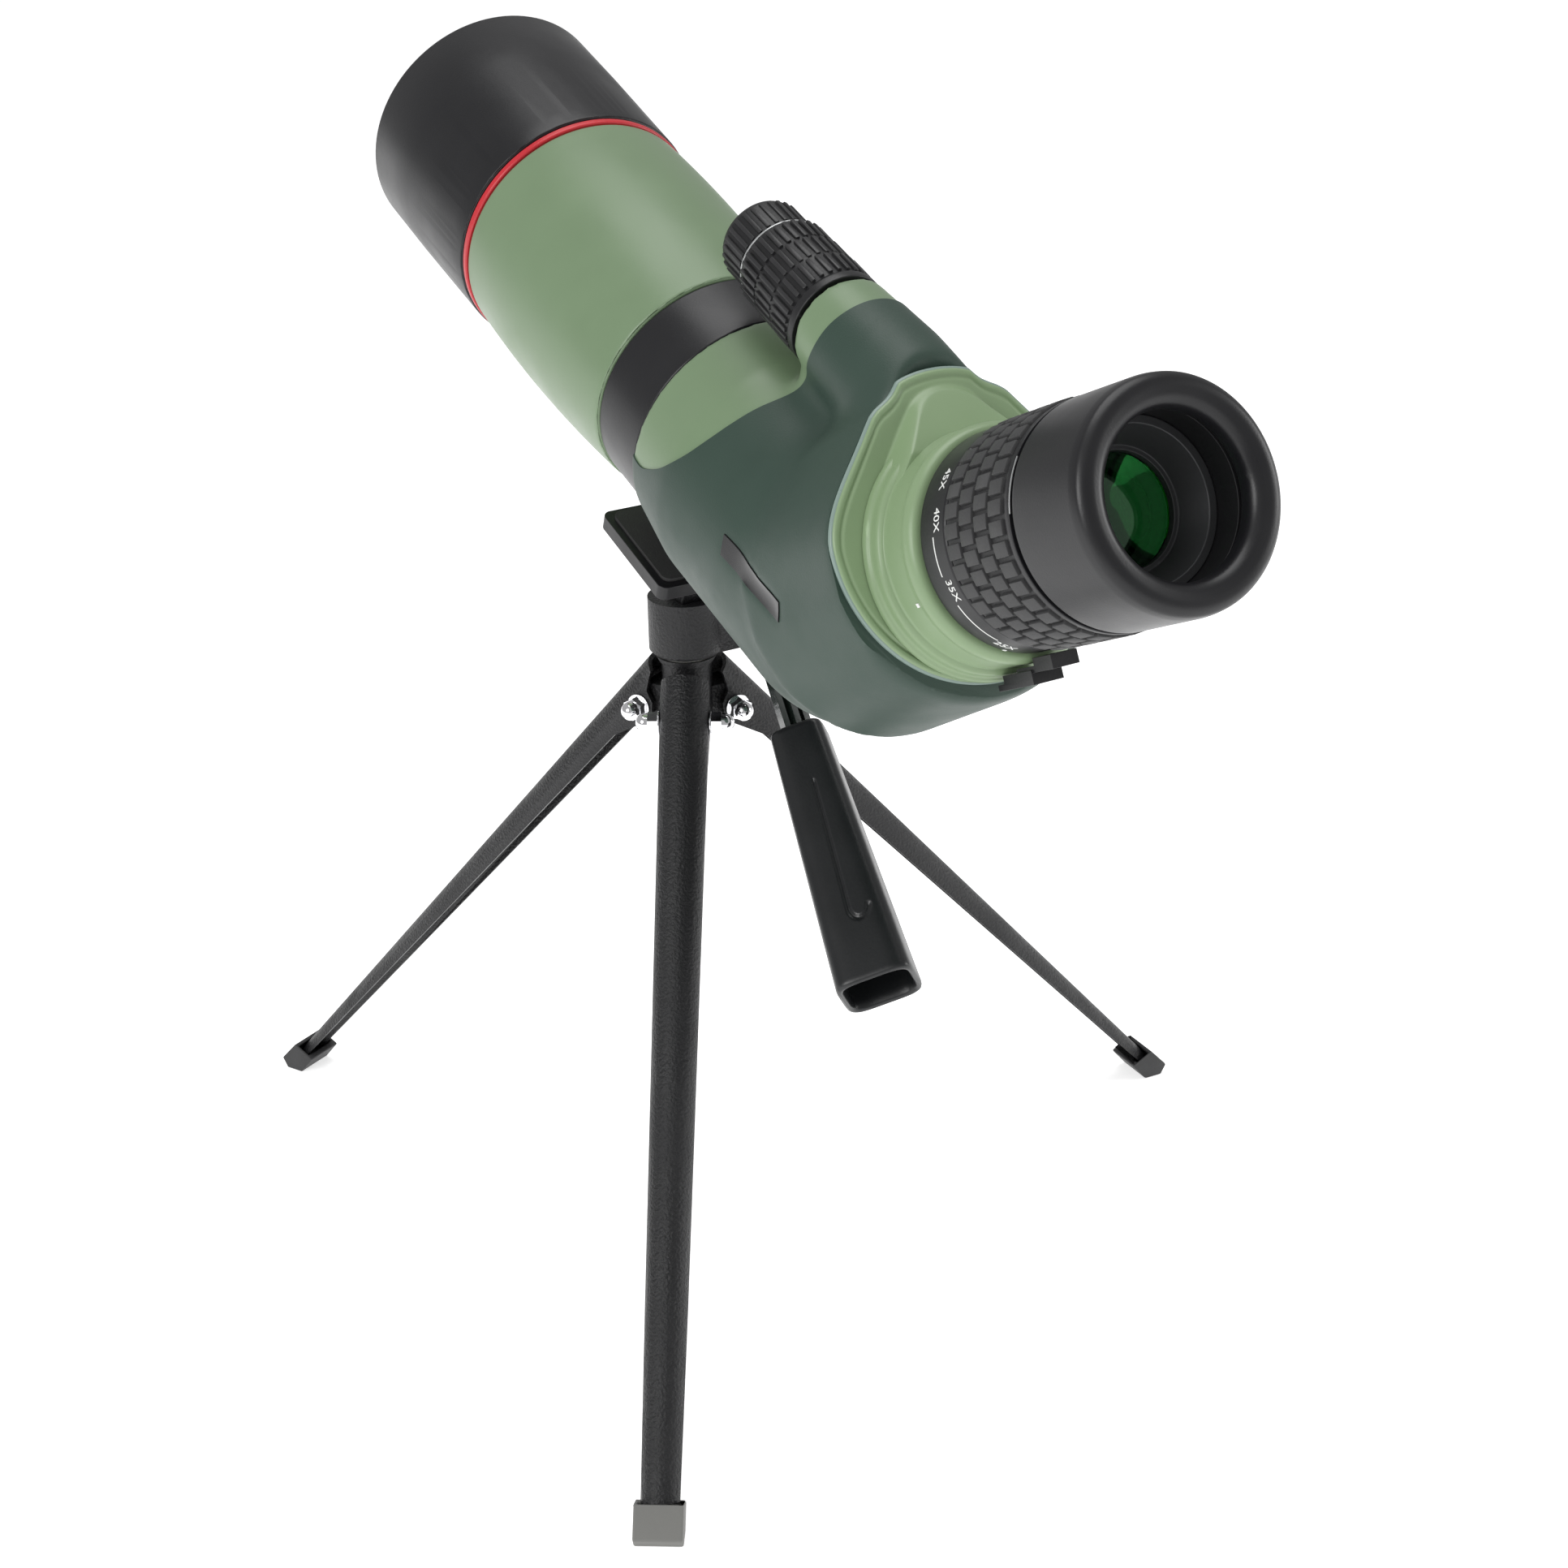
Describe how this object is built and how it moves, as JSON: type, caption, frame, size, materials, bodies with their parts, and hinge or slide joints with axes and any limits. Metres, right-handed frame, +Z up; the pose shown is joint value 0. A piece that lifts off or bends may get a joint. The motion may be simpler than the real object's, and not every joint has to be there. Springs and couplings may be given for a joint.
{
  "type": "angled spotting scope",
  "caption": "Angled zoom spotting scope on a folding table tripod, with a pan and tilt head, a pan handle, a sliding sunshade, focus knobs and a twist-up eyecup.",
  "frame": {"origin": "centre of the model's bounding box in X and Y, at the floor the feet stand on", "axes": "+Z up; the main tube points along +Y, tipped 20 degrees up; +X is to the scope's right, seen from behind the eyepiece; the pan axis stands at x -33.1 mm, y 36.1 mm"},
  "size_m": [0.2524, 0.3627, 0.3276],
  "materials": {
    "tripod_paint": "fine wrinkle paint",
    "chrome_metal": "polished",
    "steel_metal": "turned",
    "brass_metal": "turned",
    "black_paint": "satin",
    "black_anodised": "matt black anodised",
    "green_paint": "satin",
    "red_paint": "satin",
    "green_rubber": "smooth satin",
    "black_rubber": "matt",
    "grey_rubber": "matt",
    "black_plastic": "semi-gloss moulded",
    "cork_pad": "matt",
    "plate_gloss": "gloss",
    "optical_glass": "polished, coated"
  },
  "bodies": {
    "tripod": {"crown": "tripod_paint", "pan_spindle": "steel_metal", "pan_washer": "black_plastic", "hinge_studs": "steel_metal", "hinge_washers": "chrome_metal", "acorn_nuts": "chrome_metal"},
    "leg_front": {"front_leg": "tripod_paint", "front_foot": "grey_rubber"},
    "leg_right": {"right_leg": "tripod_paint", "right_foot": "black_rubber"},
    "leg_left": {"left_leg": "tripod_paint", "left_foot": "black_rubber"},
    "pan": {"pan_head": "tripod_paint"},
    "scope": {"tilt_bracket": "tripod_paint", "tilt_shaft": "steel_metal", "handle_hub": "tripod_paint", "platform": "black_plastic", "platform_pad": "cork_pad", "scope_foot": "black_paint", "foot_bush": "brass_metal", "tripod_collar": "black_paint", "barrel": "green_paint", "red_ring": "red_paint", "front_tube": "black_anodised", "objective_crown": "optical_glass", "objective_flint": "optical_glass", "objective_spacer": "black_anodised", "objective_retainer": "black_anodised", "barrel_baffle": "black_anodised", "body_shell": "green_paint", "rubber_armour": "green_rubber", "nameplate": "plate_gloss", "prism_frame": "black_anodised", "entry_prism": "optical_glass", "roof_prism": "optical_glass", "focus_bearing": "brass_metal", "eyepiece_flange": "green_paint", "eyepiece_tube": "black_anodised", "field_lens": "optical_glass", "eye_lens_cell": "black_anodised", "eye_lens": "optical_glass"},
    "handle": {"handle_shank": "black_plastic", "handle_grip": "black_plastic"},
    "camera_screw": {"platform_screw": "black_plastic"},
    "sunshade": {"hood": "black_paint", "hood_bush": "black_plastic"},
    "coarse_drive": {"coarse_knob": "black_plastic", "focus_shaft": "steel_metal"},
    "fine_drive": {"fine_knob": "black_plastic", "fine_shaft": "steel_metal"},
    "focus_group": {"focus_carriage": "black_anodised", "focusing_lens": "optical_glass"},
    "zoom_drive": {"zoom_ring": "black_paint", "zoom_grip": "black_rubber"},
    "zoom_group": {"zoom_carrier": "black_anodised", "zoom_lens": "optical_glass"},
    "cup_guide": {"eyecup_guide": "black_plastic"},
    "cup": {"eyecup": "black_paint"},
    "lock": {"eyepiece_lock": "black_plastic"}
  },
  "joints": [
    {"name": "front_leg_fold", "type": "hinge", "parent": "tripod", "child": "leg_front", "pos_m": [-0.0395, 0.02643, 0.15614], "axis": [0.8339, -0.5519, 0], "range_deg": [0, 40]},
    {"name": "right_leg_fold", "type": "hinge", "parent": "tripod", "child": "leg_right", "pos_m": [-0.02152, 0.03539, 0.15614], "axis": [0.061, 0.9981, 0], "range_deg": [0, 40]},
    {"name": "left_leg_fold", "type": "hinge", "parent": "tripod", "child": "leg_left", "pos_m": [-0.03828, 0.04648, 0.15614], "axis": [-0.8949, -0.4462, 0], "range_deg": [0, 40]},
    {"name": "pan_turn", "type": "hinge", "parent": "tripod", "child": "pan", "pos_m": [-0.0331, 0.0361, 0.17254], "axis": [0, 0, 1], "continuous": true},
    {"name": "tilt", "type": "hinge", "parent": "pan", "child": "scope", "pos_m": [-0.0331, 0.0361, 0.18334], "axis": [1, 0, 0], "range_deg": [-50, 3]},
    {"name": "handle_twist", "type": "hinge", "parent": "scope", "child": "handle", "pos_m": [-0.0113, 0.0361, 0.18334], "axis": [-0.1726, -0.7851, -0.5948], "range_deg": [0, 90]},
    {"name": "screw_turn", "type": "hinge", "parent": "scope", "child": "camera_screw", "pos_m": [-0.0331, 0.01787, 0.20189], "axis": [0, -0.342, 0.9397], "continuous": true},
    {"name": "sunshade_slide", "type": "slide", "parent": "scope", "child": "sunshade", "axis": [0, 0.9397, 0.342], "range_m": [0, 0.03]},
    {"name": "coarse_focus", "type": "hinge", "parent": "scope", "child": "coarse_drive", "pos_m": [-0.0331, -0.02876, 0.28527], "axis": [0, 0.9397, 0.342], "range_deg": [-270, 270]},
    {"name": "fine_focus", "type": "hinge", "parent": "coarse_drive", "child": "fine_drive", "pos_m": [-0.0331, -0.01279, 0.29108], "axis": [0, 0.9397, 0.342], "range_deg": [-180, 180]},
    {"name": "focus_travel", "type": "slide", "parent": "scope", "child": "focus_group", "axis": [0, 0.9397, 0.342], "range_m": [-0.003, 0.003]},
    {"name": "zoom_turn", "type": "hinge", "parent": "scope", "child": "zoom_drive", "pos_m": [-0.0331, -0.13223, 0.25534], "axis": [0, -0.9063, 0.4226], "range_deg": [-41.5, 59]},
    {"name": "zoom_travel", "type": "slide", "parent": "scope", "child": "zoom_group", "axis": [0, -0.9063, 0.4226], "range_m": [-0.0045, 0.0062]},
    {"name": "cup_rise", "type": "slide", "parent": "scope", "child": "cup_guide", "axis": [0, -0.9063, 0.4226], "range_m": [0, 0.007]},
    {"name": "cup_turn", "type": "hinge", "parent": "cup_guide", "child": "cup", "pos_m": [-0.0331, -0.15761, 0.26718], "axis": [0, -0.9063, 0.4226], "range_deg": [0, 90]},
    {"name": "lock_slide", "type": "slide", "parent": "scope", "child": "lock", "axis": [0, -0.9063, 0.4226], "range_m": [0, 0.002], "stiffness_N_per_m": 300}
  ],
  "couplings": [
    {"joint": "coarse_focus", "follows": "focus_travel", "rad_per_m": 1570},
    {"joint": "zoom_travel", "follows": "zoom_turn", "m_per_rad": 0.0058},
    {"joint": "cup_rise", "follows": "cup_turn", "m_per_rad": 0.00445}
  ]
}
